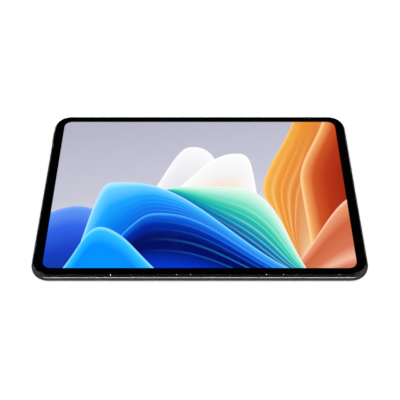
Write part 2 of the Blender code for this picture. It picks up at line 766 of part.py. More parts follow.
def make_volume_key():
    """The volume rocker, the strip with its two dome switches and the bracket behind it."""
    surface = BODY_Y / 2
    sections = [
        (slot((ROCKER_X, SIDE_Z), length, height), y)
        for length, height, y in key_sections(1, surface, ROCKER_LENGTH, ROCKER_GAP)
    ]
    flange_back = surface - WALL_INSET - ROCKER_GAP - FLANGE_THICK
    pivot = (ROCKER_X, flange_back + FLANGE_THICK / 2, SIDE_Z)
    rocker = stepped("volume_rocker", "Y", sections, "metal", pivot)
    for end in (-1, 1):
        nub = circle((ROCKER_X + end * ROCKER_REACH, SIDE_Z), NUB_RADIUS, 8)
        reach = (flange_back - ROCKER_NUB_LENGTH, flange_back + 0.2)
        fuse(rocker, prism(f"volume_nub_{end}", "Y", nub, reach, "metal"))

    strip = flange_back - ROCKER_NUB_LENGTH - 0.5
    strip_outline = rounded(11.5, 1.3, 0.6, (ROCKER_X, SIDE_Z), 2)
    switches = prism("volume_switches", "Y", strip_outline, (strip - 0.2, strip), "flex")
    for end in (-1, 1):
        centre = (ROCKER_X + end * ROCKER_REACH, SIDE_Z)
        dome = stepped(
            f"volume_dome_{end}",
            "Y",
            [(circle(centre, 1.25, 12), strip - 0.1), (circle(centre, 1.0, 12), strip + 0.25)],
            "steel",
        )
        fuse(switches, dome)

    shape = bracket_shape(strip - 0.25, ROCKER_FOOT_Y, -1)
    reach = (ROCKER_X - ROCKER_BRACKET_HALF, ROCKER_X + ROCKER_BRACKET_HALF)
    bracket = prism("volume_bracket", "X", shape, reach, "steel")
    drill(bracket, ("volume_bracket_screw",))


def make_card_tray():
    """The memory card's tray, whose door closes the slot, and the tin reader that it slides into."""
    outside = BODY_Y / 2
    pivot = (TRAY_X, outside, DOOR_Z)
    door = [
        (slot((TRAY_X, DOOR_Z), DOOR_LENGTH - 0.3, DOOR_HEIGHT - 0.3), outside),
        (slot((TRAY_X, DOOR_Z), DOOR_LENGTH, DOOR_HEIGHT), outside - 0.15),
        (slot((TRAY_X, DOOR_Z), DOOR_LENGTH, DOOR_HEIGHT), outside - DOOR_THICK),
    ]
    tray = stepped("card_tray", "Y", door, "metal", pivot)
    half_x, half_y = CARD_TRAY_SIZE[0] / 2, CARD_TRAY_SIZE[1] / 2
    plate = rounded(half_x, half_y, 1.0, (TRAY_X, outside - DOOR_THICK + 0.2 - half_y), 3)
    fuse(tray, prism("tray_plate", "Z", plate, CARD_TRAY_Z, "plastic"))
    half_card_x, half_card_y = CARD_SIZE[0] / 2, CARD_SIZE[1] / 2
    pocket = rounded(half_card_x, half_card_y, 0.8, (TRAY_X, outside - DOOR_THICK - 1.0 - half_card_y), 3)
    cut(tray, prism("tray_pocket", "Z", pocket, (CARD_FLOOR_Z, SHIELD_TOP + CUT_BEYOND), "plastic"))
    pin_hole = circle((TRAY_X + 5.0, DOOR_Z + 0.02), 0.45, 8)
    cut(tray, prism("tray_pin_hole", "Y", pin_hole, (outside - 0.8, outside + CUT_BEYOND), "metal"))

    inner = half_x + READER_GAP
    outer = inner + READER_SHEET
    ceiling = SHIELD_TOP - READER_SHEET
    shape = [
        (TRAY_X - outer, CHIP_Z),
        (TRAY_X - inner, CHIP_Z),
        (TRAY_X - inner, ceiling),
        (TRAY_X + inner, ceiling),
        (TRAY_X + inner, CHIP_Z),
        (TRAY_X + outer, CHIP_Z),
        (TRAY_X + outer, SHIELD_TOP),
        (TRAY_X - outer, SHIELD_TOP),
    ]
    reach = (outside - READER_DEPTH[1], outside - READER_DEPTH[0])
    prism("card_reader", "Y", shape, reach, "steel")


# ---------------------------------------------------------------- cameras


def make_cameras():
    """Each camera is a square module with a round barrel. The rear one looks through a ringed window."""
    centre = (0, FRONT_CAMERA_Y)
    module = rectangle(FRONT_CAMERA_X, FRONT_CAMERA_REACH)
    front = prism("front_camera", "Z", module, FRONT_CAMERA_Z, "chip")
    profile = [(FRONT_BARREL, 3.0), (FRONT_BARREL, 5.6), (1.1, 5.6), (0.7, 5.3)]
    fuse(front, turned("front_barrel", "Z", centre, profile, "lens", 16))

    centre = (0, REAR_CAMERA_Y)
    half = REAR_CAMERA_HALF
    module = rectangle((-half, half), (REAR_CAMERA_Y - half, REAR_CAMERA_Y + half))
    rear = prism("rear_camera", "Z", module, REAR_CAMERA_Z, "chip")
    profile = [(3.1, 1.5), (3.1, 0.1), (2.2, 0.1), (1.5, 0.45)]
    fuse(rear, turned("rear_barrel", "Z", centre, profile, "lens", 20))

    seat = RING_SEAT_Z - PLATE_GAP
    bevel = 0.25
    ring = [
        (RING_RADIUS, seat),
        (RING_RADIUS, bevel - RING_PROUD),
        (RING_RADIUS - bevel, -RING_PROUD),
        (RING_EYE, -RING_PROUD),
        (RING_EYE, LEDGE_Z),
        (NECK_EYE, LEDGE_Z),
        (NECK_EYE, FLOOR_Z),
        (NECK_RADIUS, FLOOR_Z),
        (NECK_RADIUS, seat),
    ]
    turned("camera_ring", "Z", centre, ring, "metal", 32, closed=True)
    window = [(CAMERA_WINDOW_RADIUS, 0.15 - RING_PROUD), (CAMERA_WINDOW_RADIUS, LEDGE_Z - PLATE_GAP)]
    turned("camera_window", "Z", centre, window, "lens", 32)


# ---------------------------------------------------------------- whole


def main():
    for obj in list(bpy.data.objects):
        bpy.data.objects.remove(obj)
    bpy.context.scene.unit_settings.scale_length = 1.0
    make_rear_housing()
    make_screws()
    make_display()
    make_boards()
    make_battery()
    make_port()
    make_speakers()
    make_power_key()
    make_volume_key()
    make_card_tray()
    make_cameras()
    smooth_round_sides()


main()
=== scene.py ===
"""The looks of the tablet computer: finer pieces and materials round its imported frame, with floor, light and
camera.

Outlines and profiles are in millimetres in the frame's own axes, and MM turns them into metres. The origin is
the middle of the flat back face. X runs along the long side, Y points to the long edge that holds the front
camera, and Z points from the back to the glass.
"""

import math

import bmesh
import bpy
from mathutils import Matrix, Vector


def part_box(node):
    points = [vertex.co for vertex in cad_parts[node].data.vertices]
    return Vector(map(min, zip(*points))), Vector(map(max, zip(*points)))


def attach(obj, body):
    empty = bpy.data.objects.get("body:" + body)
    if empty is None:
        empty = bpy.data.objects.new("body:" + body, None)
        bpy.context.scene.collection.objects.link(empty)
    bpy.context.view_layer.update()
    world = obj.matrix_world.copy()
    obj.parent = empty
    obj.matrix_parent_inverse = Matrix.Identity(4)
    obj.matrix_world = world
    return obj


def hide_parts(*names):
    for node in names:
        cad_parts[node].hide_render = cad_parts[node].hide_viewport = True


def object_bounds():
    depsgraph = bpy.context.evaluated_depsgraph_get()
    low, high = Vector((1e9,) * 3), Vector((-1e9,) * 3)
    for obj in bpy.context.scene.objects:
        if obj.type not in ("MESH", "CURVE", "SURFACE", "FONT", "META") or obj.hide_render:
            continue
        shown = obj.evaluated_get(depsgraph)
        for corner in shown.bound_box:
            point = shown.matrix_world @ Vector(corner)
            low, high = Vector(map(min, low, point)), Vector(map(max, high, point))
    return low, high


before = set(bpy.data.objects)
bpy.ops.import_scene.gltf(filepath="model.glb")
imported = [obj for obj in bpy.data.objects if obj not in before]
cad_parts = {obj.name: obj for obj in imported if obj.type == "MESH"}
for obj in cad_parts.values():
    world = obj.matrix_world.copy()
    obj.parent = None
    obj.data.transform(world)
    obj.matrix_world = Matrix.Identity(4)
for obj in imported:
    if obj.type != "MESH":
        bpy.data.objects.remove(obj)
CAD_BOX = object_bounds()
MM = 0.001
TABLET = "tablet_body"
SHARP_ANGLE = math.radians(32)


def box(node):
    """Lowest and highest corner of a node, in millimetres."""
    low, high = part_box(node)
    return low / MM, high / MM


# Body: half sizes, and the radii and insets of its outline and cross-section
HALF_X, HALF_Y = box("rear_housing")[1].xy
BODY_CORNER = 14.0
LOWER_RADIUS = 1.8
SHOULDER_RADIUS = 2.0
SHOULDER_Z = 3.65
RIM_INSET = 1.3
WALL_INSET = 2.6
INNER_FLOOR_Z = 0.8
CORNER_STEPS = 28

# Glass, print and display
GLASS_LOW, GLASS_TOP = box("cover_glass")[0].z, box("cover_glass")[1].z
GLASS_INSET = 1.35
GLASS_EDGE_Z = 6.35
GLASS_EDGE_RUN = 1.6
PRINT_Z = (5.97, 6.02)
FRAME_Z = (5.62, 5.92)
SCREEN_X, SCREEN_Y = 234.2, 167.2
SCREEN_CORNER = 6.5
DISPLAY_STRENGTH = 1.08
FRONT_CAMERA_Y = 86.9
EYE_RADIUS = 1.25
FRONT_BARREL_ROOM = 1.8

# Side walls
SIDE_Z = 2.75
SPEAKER_Y = 38.0
HOLES_PER_SPEAKER = 8
HOLE_PITCH = 2.0
HOLE_RADIUS = 0.65
HOLE_CHAMFER = 0.1
MIC_RADIUS = 0.45
MIC_EDGE_X = 12.0
MIC_SIDE_Y = 10.5
KEY_HEIGHT = 2.2
KEY_PROUD = 0.45
KEY_CLEARANCE = 0.15
KEY_FLANGE = 0.5
POWER_Y, POWER_LENGTH = 67.4, 13.0
ROCKER_X, ROCKER_LENGTH = -92.0, 24.0
ROCKER_SWITCH_X = 8.0
TRAY_X, DOOR_LENGTH, DOOR_HEIGHT, DOOR_Z = 88.0, 14.0, 2.4, 2.95
PORT_Z, PORT_LENGTH, PORT_HEIGHT = 3.0, 8.94, 3.16
PORT_WALL, PORT_DEPTH, PORT_RECESS = 0.3, 6.2, 0.3
DOOR_CHAMFER, PORT_CHAMFER = 0.05, 0.2
CONTACTS_PER_ROW, CONTACT_PITCH = 12, 0.5

# Cameras and antenna windows
REAR_CAMERA_Y = 72.0
RING_RADIUS, RING_PROUD, RING_SEAT_Z, RING_GAP, NECK_RADIUS = 9.0, 0.8, 0.4, 0.15, 7.4
WINDOW_X, WINDOW_Y, WINDOW_GAP = (22.0, 62.0), 84.5, 0.08


# ---------------------------------------------------------------- outlines and meshes


def rounded(half_x, half_y, radius, centre=(0.0, 0.0), steps=CORNER_STEPS):
    """A rectangle with round corners, counter-clockwise."""
    points = []
    for quarter in range(4):
        sign_x = 1 if quarter in (0, 3) else -1
        sign_y = 1 if quarter in (0, 1) else -1
        for step in range(steps + 1):
            angle = math.radians(90 * (quarter + step / steps))
            x = centre[0] + sign_x * (half_x - radius) + radius * math.cos(angle)
            y = centre[1] + sign_y * (half_y - radius) + radius * math.sin(angle)
            points.append((x, y))
    return points


def circle(centre, radius, steps=32):
    turn = 2 * math.pi / steps
    return [
        (centre[0] + radius * math.cos(turn * i), centre[1] + radius * math.sin(turn * i))
        for i in range(steps)
    ]


def stadium(centre, length, height, steps=10):
    """A slot with round ends, its length along the first axis."""
    half, radius = length / 2, height / 2
    points = []
    for end in (1, -1):
        for step in range(steps + 1):
            angle = math.radians(180 * step / steps - 90 * end)
            x = centre[0] + end * (half - radius) + radius * math.cos(angle)
            points.append((x, centre[1] + radius * math.sin(angle)))
    return points


def body_ring(inset, z):
    """The tablet's outline, drawn in by inset, as points at height z."""
    return [(x, y, z) for x, y in rounded(HALF_X - inset, HALF_Y - inset, BODY_CORNER - inset)]


def arc(centre, radii, start, end, steps):
    """(inset, z) along an arc. Angles are in degrees, 0 pointing outwards and 90 upwards."""
    points = []
    for step in range(steps + 1):
        angle = math.radians(start + (end - start) * step / steps)
        points.append((centre[0] - radii[0] * math.cos(angle), centre[1] + radii[1] * math.sin(angle)))
    return points


def along(axis, outline, w):
    """Outline points placed at w on an axis: X takes (y, z) pairs, Y takes (x, z) and Z takes (x, y)."""
    if axis == "X":
        return [(w, u, v) for u, v in outline]
    if axis == "Y":
        return [(u, w, v) for u, v in outline]
    return [(u, v, w) for u, v in outline]


def skin(rings, closed=False):
    """Points and faces of the skin through rings of equal count: closed on itself, or capped at both ends."""
    count = len(rings[0])
    points = [p for ring in rings for p in ring]
    faces = []
    for level in range(len(rings) if closed else len(rings) - 1):
        here = level * count
        there = (level + 1) % len(rings) * count
        for i in range(count):
            j = (i + 1) % count
            faces.append((here + i, here + j, there + j, there + i))
    if not closed:
        faces.append(tuple(range(count)))
        faces.append(tuple(range((len(rings) - 1) * count, len(rings) * count)))
    return points, faces


def lathe(axis, centre, profile, steps=48, closed=False):
    """Points and faces of a round solid from (radius, w) pairs along an axis."""
    return skin([along(axis, circle(centre, radius, steps), w) for radius, w in profile], closed)


def joined(shapes):
    """Several closed shapes as one list of points and faces."""
    points, faces = [], []
    for more_points, more_faces in shapes:
        start = len(points)
        points.extend(more_points)
        faces.extend(tuple(start + i for i in face) for face in more_faces)
    return points, faces


def brick(low, high):
    """A box between two corners."""
    outline = [(low[0], low[1]), (high[0], low[1]), (high[0], high[1]), (low[0], high[1])]
    return skin([along("Z", outline, low[2]), along("Z", outline, high[2])])


def new_object(name, shape):
    points, faces = shape
    mesh = bpy.data.meshes.new(name)
    mesh.from_pydata([Vector(p) * MM for p in points], [], faces)
    built = bmesh.new()
    built.from_mesh(mesh)
    bmesh.ops.remove_doubles(built, verts=built.verts, dist=1e-7)
    bmesh.ops.recalc_face_normals(built, faces=built.faces)
    built.to_mesh(mesh)
    built.free()
    obj = bpy.data.objects.new(name, mesh)
    bpy.context.scene.collection.objects.link(obj)
    return obj


def carve(target, *shapes, operation="DIFFERENCE"):
    """Cuts shapes out of a piece for good, or keeps what it shares with them."""
    for shape in shapes:
        cutter = new_object("cutter", shape)
        modifier = target.modifiers.new("carve", "BOOLEAN")
        modifier.operation = operation
        modifier.object = cutter
        modifier.solver = "EXACT"
        graph = bpy.context.evaluated_depsgraph_get()
        mesh = bpy.data.meshes.new_from_object(target.evaluated_get(graph))
        target.modifiers.clear()
        target.data = mesh
        bpy.data.objects.remove(cutter)


def piece(name, shape, material, replaces=(), slot=None, body=TABLET, cuts=(), within=(), bevel=None):
    """A finished piece: carved, bevelled, shaded, given its material and put on its body."""
    obj = new_object(name, shape)
    carve(obj, *cuts)
    carve(obj, *within, operation="INTERSECT")
    if bevel:
        modifier = obj.modifiers.new("bevel", "BEVEL")
        modifier.width = bevel * MM
        modifier.segments = 2
        modifier.limit_method = "ANGLE"
        modifier.angle_limit = math.radians(40)
        modifier.use_clamp_overlap = True
    obj.data.shade_smooth()
    obj.data.set_sharp_from_angle(angle=SHARP_ANGLE)
    flat = obj.modifiers.new("flat faces stay flat", "WEIGHTED_NORMAL")
    flat.keep_sharp = True
    obj.data.materials.clear()
    obj.data.materials.append(material)
    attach(obj, body)
    if replaces:
        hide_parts(*replaces)
    return obj


# ---------------------------------------------------------------- material building


def srgb(red, green, blue):
    """A colour given as 0 to 255 display values, as linear light."""
    def linear(value):
        value /= 255
        return value / 12.92 if value <= 0.04045 else ((value + 0.055) / 1.055) ** 2.4

    return (linear(red), linear(green), linear(blue), 1.0)


class Field:
    """A number that varies over a surface. Arithmetic on it adds Math nodes to its material."""

    def __init__(self, tree, socket):
        self.tree = tree
        self.socket = socket

    def math(self, operation, *others):
        node = self.tree.nodes.new("ShaderNodeMath")
        node.operation = operation
        for slot, value in zip(node.inputs, (self, *others)):
            if isinstance(value, Field):
                self.tree.links.new(value.socket, slot)
            else:
                slot.default_value = value
        return Field(self.tree, node.outputs[0])

    def __add__(self, other):
        return self.math("ADD", other)

    def __sub__(self, other):
        return self.math("SUBTRACT", other)

    def __rsub__(self, other):
        return self.math("MULTIPLY_ADD", -1.0, other)

    def __mul__(self, other):
        return self.math("MULTIPLY", other)

    def __truediv__(self, other):
        return self.math("DIVIDE", other)

    def at_least(self, value):
        return self.math("MAXIMUM", value)


def sine(field):
    return field.math("SINE")


def smooth(low, high, field, start=0.0, end=1.0):
    """Goes smoothly from start to end as the field goes from low to high."""
    node = field.tree.nodes.new("ShaderNodeMapRange")
    node.interpolation_type = "SMOOTHSTEP"
    field.tree.links.new(field.socket, node.inputs["Value"])
    limits = {"From Min": low, "From Max": high, "To Min": start, "To Max": end}
    for name, value in limits.items():
        if isinstance(value, Field):
            field.tree.links.new(value.socket, node.inputs[name])
        else:
            node.inputs[name].default_value = value
    return Field(field.tree, node.outputs["Result"])


def fall(field, centre, width, power=2.0):
    """1 at the centre, falling off on both sides."""
    far = ((field - centre) / width).math("ABSOLUTE")
    level = (far * far if power == 2.0 else far.math("POWER", power)) * -1.0
    return level.math("EXPONENT")


def hill(field, centre, left, right, power=2.0):
    """A smooth hump of height 1, with a width of its own on each side."""
    width = smooth(centre - 0.25, centre + 0.25, field, left, right)
    return fall(field, centre, width, power)


def ramp(field, stops):
    """The colours of (position, colour) stops along the field."""
    node = field.tree.nodes.new("ShaderNodeValToRGB")
    field.tree.links.new(field.socket, node.inputs["Fac"])
    elements = node.color_ramp.elements
    while len(elements) < len(stops):
        elements.new(0.5)
    # Positions first, so that the stops are in order when they get their colours
    for element, (position, _) in zip(elements, stops):
        element.position = position
    for element, (position, colour) in zip(elements, stops):
        element.position = position
        element.color = srgb(*colour) if len(colour) == 3 else colour
    return node.outputs["Color"]


def over(tree, below, above, cover):
    """One colour over another where cover is 1."""
    node = tree.nodes.new("ShaderNodeMix")
    node.data_type = "RGBA"
    tree.links.new(cover.socket, node.inputs["Factor"])
    for value, name in ((below, "A"), (above, "B")):
        slot = next(s for s in node.inputs if s.name == name and s.type == "RGBA")
        if isinstance(value, bpy.types.NodeSocket):
            tree.links.new(value, slot)
        else:
            slot.default_value = value
    return next(s for s in node.outputs if s.type == "RGBA")


class Finish:
    """A material being made: its Principled shader, its tree and the object coordinates, in millimetres."""

    def __init__(self, name, metallic=0.0, roughness=0.5, **sockets):
        self.material = bpy.data.materials.new(name)
        self.material.use_nodes = True
        self.tree = self.material.node_tree
        self.shader = self.tree.nodes["Principled BSDF"]
        self.shader.inputs["Metallic"].default_value = metallic
        self.shader.inputs["Roughness"].default_value = roughness
        for key, value in sockets.items():
            self.shader.inputs[key.replace("_", " ")].default_value = value
        coordinates = self.tree.nodes.new("ShaderNodeTexCoord")
        scale = self.tree.nodes.new("ShaderNodeVectorMath")
        scale.operation = "SCALE"
        scale.inputs["Scale"].default_value = 1 / MM
        self.tree.links.new(coordinates.outputs["Object"], scale.inputs[0])
        self.place = scale.outputs[0]
        self.height = None

    def axes(self):
        node = self.tree.nodes.new("ShaderNodeSeparateXYZ")
        self.tree.links.new(self.place, node.inputs[0])
        return [Field(self.tree, node.outputs[i]) for i in range(3)]

    def stretched(self, x, y, z):
        node = self.tree.nodes.new("ShaderNodeVectorMath")
        node.operation = "MULTIPLY"
        node.inputs[1].default_value = (x, y, z)
        self.tree.links.new(self.place, node.inputs[0])
        return node.outputs[0]

    def noise(self, size, detail=3.0, stretch=(1.0, 1.0, 1.0), distortion=0.0):
        """Soft noise whose features are about size millimetres wide, from 0 to 1."""
        node = self.tree.nodes.new("ShaderNodeTexNoise")
        node.inputs["Scale"].default_value = 1 / size
        node.inputs["Detail"].default_value = detail
        node.inputs["Distortion"].default_value = distortion
        place = self.place if stretch == (1.0, 1.0, 1.0) else self.stretched(*stretch)
        self.tree.links.new(place, node.inputs["Vector"])
        return Field(self.tree, node.outputs[0])

    def cells(self, size, randomness=1.0):
        """Voronoi cells about size millimetres wide."""
        node = self.tree.nodes.new("ShaderNodeTexVoronoi")
        node.inputs["Scale"].default_value = 1 / size
        node.inputs["Randomness"].default_value = randomness
        self.tree.links.new(self.place, node.inputs["Vector"])
        return Field(self.tree, node.outputs["Distance"])

    def colour(self, socket):
        self.tree.links.new(socket, self.shader.inputs["Base Color"])

    def shades(self, field, dark, light, low=0.3, high=0.7):
        """A base colour that drifts between two near shades."""
        self.colour(ramp(field, [(low, dark), (high, light)]))

    def rough(self, field, low, high):
        result = smooth(0.25, 0.75, field, low, high)
        self.tree.links.new(result.socket, self.shader.inputs["Roughness"])

    def bump(self, field, depth, strength=1.0):
        """Relief of the given depth in millimetres."""
        node = self.tree.nodes.new("ShaderNodeBump")
        node.inputs["Strength"].default_value = strength
        node.inputs["Distance"].default_value = depth * MM
        self.tree.links.new(field.socket, node.inputs["Height"])
        if self.height is not None:
            self.tree.links.new(self.height, node.inputs["Normal"])
        self.height = node.outputs[0]
        self.tree.links.new(self.height, self.shader.inputs["Normal"])


# ---------------------------------------------------------------- the picture on the display


def picture(tree, x, y):
    """A generic picture of silky waves. x runs from -1.4 to 1.4 over the lit area, y from -1 to 1."""
    colour = ramp(y * -0.31 + x * 0.064 + 0.46, [
        (0.10, (180, 181, 200)),
        (0.42, (198, 198, 213)),
        (0.70, (222, 222, 230)),
        (0.95, (236, 236, 242)),
    ])

    def lay(new, cover):
        nonlocal colour
        colour = over(tree, colour, new, cover)

    def sheet(depth, tone, stops, strands=(), glint=None, fade=1.0, edge=0.004):
        """A sheet where depth is over 0, coloured along tone, with fine strands (tone, width, strength)."""
        shown = smooth(-edge, edge, depth)
        lay(ramp(tone, stops), shown)
        for place, width, strength in strands:
            lay(glint, fall(tone, place, width) * fade * shown * strength)

    # White silk behind, in two folds
    crest = hill(x - y * 0.22, -0.20, 0.26, 0.50, 2.6) * 1.16 - 0.55
    sheet(crest - y, (crest - y) * 1.1, [
        (0.0, (252, 252, 253)),
        (0.08, (246, 246, 248)),
        (0.35, (236, 236, 240)),
        (0.80, (222, 224, 232)),
    ])
    crest = hill(x - y * 0.28, 0.22, 0.48, 0.36, 2.6) * 0.96 - 0.45
    sheet(crest - y, (crest - y) * 1.3, [
        (0.0, (255, 255, 255)),
        (0.06, (248, 248, 248)),
        (0.40, (242, 240, 239)),
        (0.70, (244, 222, 192)),
        (1.0, (250, 190, 96)),
    ])

    # Orange drape and its red core at the upper right
    left = smooth(-0.1, 1.25, y, 0.0, 0.40) + smooth(0.1, -1.2, y, 0.60, 0.92)
    right = smooth(0.45, -1.0, y, 1.75, 0.92)
    sheet(
        x - left,
        (x - left) / (right - left),
        [
            (0.0, (255, 206, 116)),
            (0.04, (242, 172, 72)),
            (0.16, (234, 146, 52)),
            (0.34, (226, 132, 56)),
            (0.50, (226, 160, 104)),
            (1.0, (238, 196, 150)),
        ],
        [(0.10, 0.018, 0.55), (0.19, 0.012, 0.4), (0.27, 0.02, 0.5), (0.36, 0.012, 0.45)],
        srgb(255, 222, 140),
        smooth(1.1, -0.6, y),
    )
    inner = smooth(0.1, 1.2, y, 0.98, 1.30) + smooth(0.2, -1.0, y, 0.0, 0.04)
    sheet(x - inner, (x - inner) * 2.4, [
        (0.0, (255, 216, 160)),
        (0.10, (238, 160, 92)),
        (0.30, (206, 84, 34)),
        (0.60, (182, 52, 20)),
        (1.0, (160, 38, 16)),
    ])

    # Salmon sheet at the lower right
    crest = smooth(0.72, 1.55, x, -1.02, -0.05) + sine(x * 7.0) * 0.02
    sheet(crest - y, (crest - y) / (crest + 1.3), [
        (0.0, (255, 214, 186)),
        (0.05, (236, 156, 116)),
        (0.25, (206, 98, 60)),
        (0.50, (214, 118, 82)),
        (0.62, (238, 182, 156)),
        (0.70, (212, 112, 80)),
        (0.85, (232, 164, 140)),
        (1.0, (240, 190, 170)),
    ])

    # Mid-blue rise at the left
    crest = hill(x, -1.15, 0.9, 0.75) * 1.07 - 1.30
    sheet(crest - y, (crest - y) * 1.2, [
        (0.0, (130, 176, 248)),
        (0.05, (96, 150, 244)),
        (0.30, (48, 98, 228)),
        (0.65, (22, 62, 192)),
        (1.0, (10, 50, 160)),
    ])

    # Teal dome, behind the blue wave
    teal = hill(x - y * 0.22, 0.02, 0.80, 1.02, 4.0) * 1.30 - 1.26
    blue = hill(x + y * 0.16, -0.76, 0.46, 1.14, 2.6) * 1.36 - 1.26
    sheet(
        teal - y,
        (teal - y) / (teal - blue).at_least(0.02) * 0.75 + (teal - y) * 0.25,
        [
            (0.0, (232, 248, 242)),
            (0.08, (206, 242, 228)),
            (0.24, (120, 224, 196)),
            (0.40, (36, 196, 170)),
            (0.58, (10, 160, 180)),
            (0.78, (0, 104, 176)),
            (1.0, (0, 60, 140)),
        ],
        [(0.30, 0.02, 0.5), (0.42, 0.012, 0.45), (0.55, 0.022, 0.5), (0.68, 0.012, 0.5), (0.8, 0.016, 0.4)],
        srgb(176, 246, 236),
        smooth(-0.1, 0.7, x),
    )

    # The big blue wave, with fine strands along its back
    deep = hill(x, -0.38, 0.56, 0.98, 2.2) * 0.98 - 1.30
    depth = (blue - y) / (blue - deep).at_least(0.02)
    sheet(blue - y, depth * 0.5, [
        (0.0, (190, 238, 255)),
        (0.05, (104, 208, 255)),
        (0.18, (20, 164, 250)),
        (0.36, (0, 122, 238)),
        (0.60, (0, 76, 206)),
        (1.0, (0, 30, 140)),
    ])
    strands = smooth(-1.0, 1.0, sine(depth * 44.0)) * smooth(-0.9, 0.5, x, 0.0, 0.28)
    strands = strands * smooth(0.0, 0.25, depth)
    lay(srgb(120, 214, 255), strands * smooth(-0.004, 0.004, blue - y))

    # The dark hollow in front of it
    sheet(
        deep - y,
        (deep - y) / (deep + 1.55),
        [
            (0.0, (80, 186, 255)),
            (0.03, (10, 104, 226)),
            (0.11, (0, 44, 170)),
            (0.24, (0, 12, 98)),
            (0.36, (0, 12, 100)),
            (0.52, (0, 50, 198)),
            (1.0, (0, 60, 214)),
        ],
        [(0.09, 0.010, 0.5), (0.17, 0.007, 0.4), (0.27, 0.011, 0.5), (0.38, 0.008, 0.4)],
        srgb(40, 150, 255),
        smooth(-0.6, 0.5, x),
    )

    # Cyan lip at the lower left
    crest = hill(x, -0.92, 0.30, 0.52) * 0.80 - 1.30
    sheet(crest - y, (crest - y) * 1.6, [
        (0.0, (150, 232, 255)),
        (0.08, (40, 190, 255)),
        (0.35, (0, 140, 255)),
        (1.0, (0, 150, 255)),
    ])
    return colour


def lit_display():
    """The panel: the picture where the backlight shows through it, and black round it and on its sides."""
    finish = Finish(
        "lit display",
        roughness=0.35,
        Base_Color=(0.003, 0.003, 0.004, 1.0),
        Specular_IOR_Level=0.0,
    )
    x, y, _ = finish.axes()
    half = SCREEN_Y / 2
    across, up = x / half, y / half
    light = picture(finish.tree, across, up)
    finish.tree.links.new(light, finish.shader.inputs["Emission Color"])
    coordinates = finish.tree.nodes.new("ShaderNodeTexCoord")
    normal = finish.tree.nodes.new("ShaderNodeSeparateXYZ")
    finish.tree.links.new(coordinates.outputs["Normal"], normal.inputs[0])
    facing = smooth(0.6, 0.9, Field(finish.tree, normal.outputs[2]))
    edge = 0.6
    within_x = smooth(SCREEN_X / 2 + edge, SCREEN_X / 2 + edge / 2, x.math("ABSOLUTE"))
    within_y = smooth(half + edge, half + edge / 2, y.math("ABSOLUTE"))
    strength = facing * within_x * within_y * DISPLAY_STRENGTH
    finish.tree.links.new(strength.socket, finish.shader.inputs["Emission Strength"])
    return finish.material


# ---------------------------------------------------------------- materials


def anodised(name, dark, light, roughness=(0.22, 0.30)):
    """Bead-blasted, anodised aluminium: a fine grain and a slow drift in tone."""
    finish = Finish(name, metallic=1.0, Specular_Tint=(0.38, 0.38, 0.39, 1.0))
    drift = finish.noise(40.0, 2.0)
    grain = finish.noise(0.09, 2.0)
    finish.shades(drift * 0.7 + grain * 0.3, dark, light)
    finish.rough(finish.noise(6.0, 4.0), *roughness)
    finish.bump(grain, 0.006, 0.5)
    finish.bump(finish.noise(0.5, 3.0), 0.003, 0.3)
    return finish.material


def clear_glass():
    """Cover glass with the faint haze of wiped fingerprints in its oil-repellent coat."""
    finish = Finish(
        "cover glass",
        roughness=0.0,
        Base_Color=(1.0, 1.0, 1.0, 1.0),
        IOR=1.5,
        Specular_Tint=(0.3, 0.3, 0.32, 1.0),
        Transmission_Weight=1.0,
        Coat_Roughness=0.12,
        Coat_IOR=1.3,
    )
    smears = finish.noise(24.0, 5.0, (1.0, 1.7, 1.0), 0.6)
    weight = smooth(0.45, 0.75, smears, 0.0, 0.25)
    finish.tree.links.new(weight.socket, finish.shader.inputs["Coat Weight"])
    return finish.material


def black_ink():
    finish = Finish("black border print", roughness=0.6, Specular_IOR_Level=0.0)
    dots = finish.cells(0.25, randomness=0.0)
    finish.colour(ramp(dots, [(0.2, (0.0009, 0.0009, 0.001, 1.0)), (0.6, (0.0005, 0.0005, 0.0006, 1.0))]))
    finish.bump(dots, 0.004, 0.3)
    return finish.material


def painted_edge_shade():
    """Painted shade on the ground side of the glass: a near-black colour where the side only looks dark."""
    finish = Finish("glass edge painted shade", Specular_IOR_Level=0.1)
    grind = finish.noise(0.15, 2.0)
    finish.shades(grind, (8, 8, 9), (12, 12, 13))
    finish.rough(grind, 0.3, 0.42)
    finish.bump(grind, 0.004, 0.4)
    return finish.material


def moulded(name, dark, light, roughness=(0.42, 0.55), grain=0.12, specular=0.5):
    """Moulded plastic with a fine spark-eroded texture."""
    finish = Finish(name, Specular_IOR_Level=specular)
    finish.shades(finish.noise(9.0, 3.0), dark, light)
    finish.rough(finish.noise(1.5, 2.0), *roughness)
    finish.bump(finish.noise(grain, 2.0), 0.008, 0.6)
    return finish.material


def brushed(name, dark, light, roughness=(0.22, 0.36), stretch=(0.06, 1.0, 1.0)):
    """Rolled sheet metal with fine lines along one axis."""
    finish = Finish(name, metallic=1.0)
    lines = finish.noise(0.08, 3.0, stretch)
    finish.shades(lines, dark, light)
    finish.rough(lines, *roughness)
    finish.bump(lines, 0.004, 0.5)
    return finish.material


def circuit_board():
    """Dark green solder mask over copper tracks, with tinned pads."""
    finish = Finish("circuit board")
    x, y, _ = finish.axes()
    lanes_x = smooth(0.55, 0.85, sine(x * 5.2 + finish.noise(7.0, 1.0) * 9.0))
    lanes_y = smooth(0.55, 0.85, sine(y * 5.2 + finish.noise(9.0, 1.0) * 9.0))
    patch = smooth(0.48, 0.52, finish.noise(11.0, 1.0))
    tracks = lanes_x * patch + lanes_y * (1.0 - patch)
    mask = ramp(tracks, [(0.0, (6, 38, 22)), (1.0, (16, 74, 44))])
    pads = smooth(0.17, 0.13, finish.cells(2.1))
    finish.colour(over(finish.tree, mask, srgb(190, 186, 170), pads))
    finish.tree.links.new(smooth(0.0, 1.0, pads, 0.38, 0.25).socket, finish.shader.inputs["Roughness"])
    finish.tree.links.new(pads.socket, finish.shader.inputs["Metallic"])
    finish.bump(tracks + pads, 0.03, 0.5)
    return finish.material


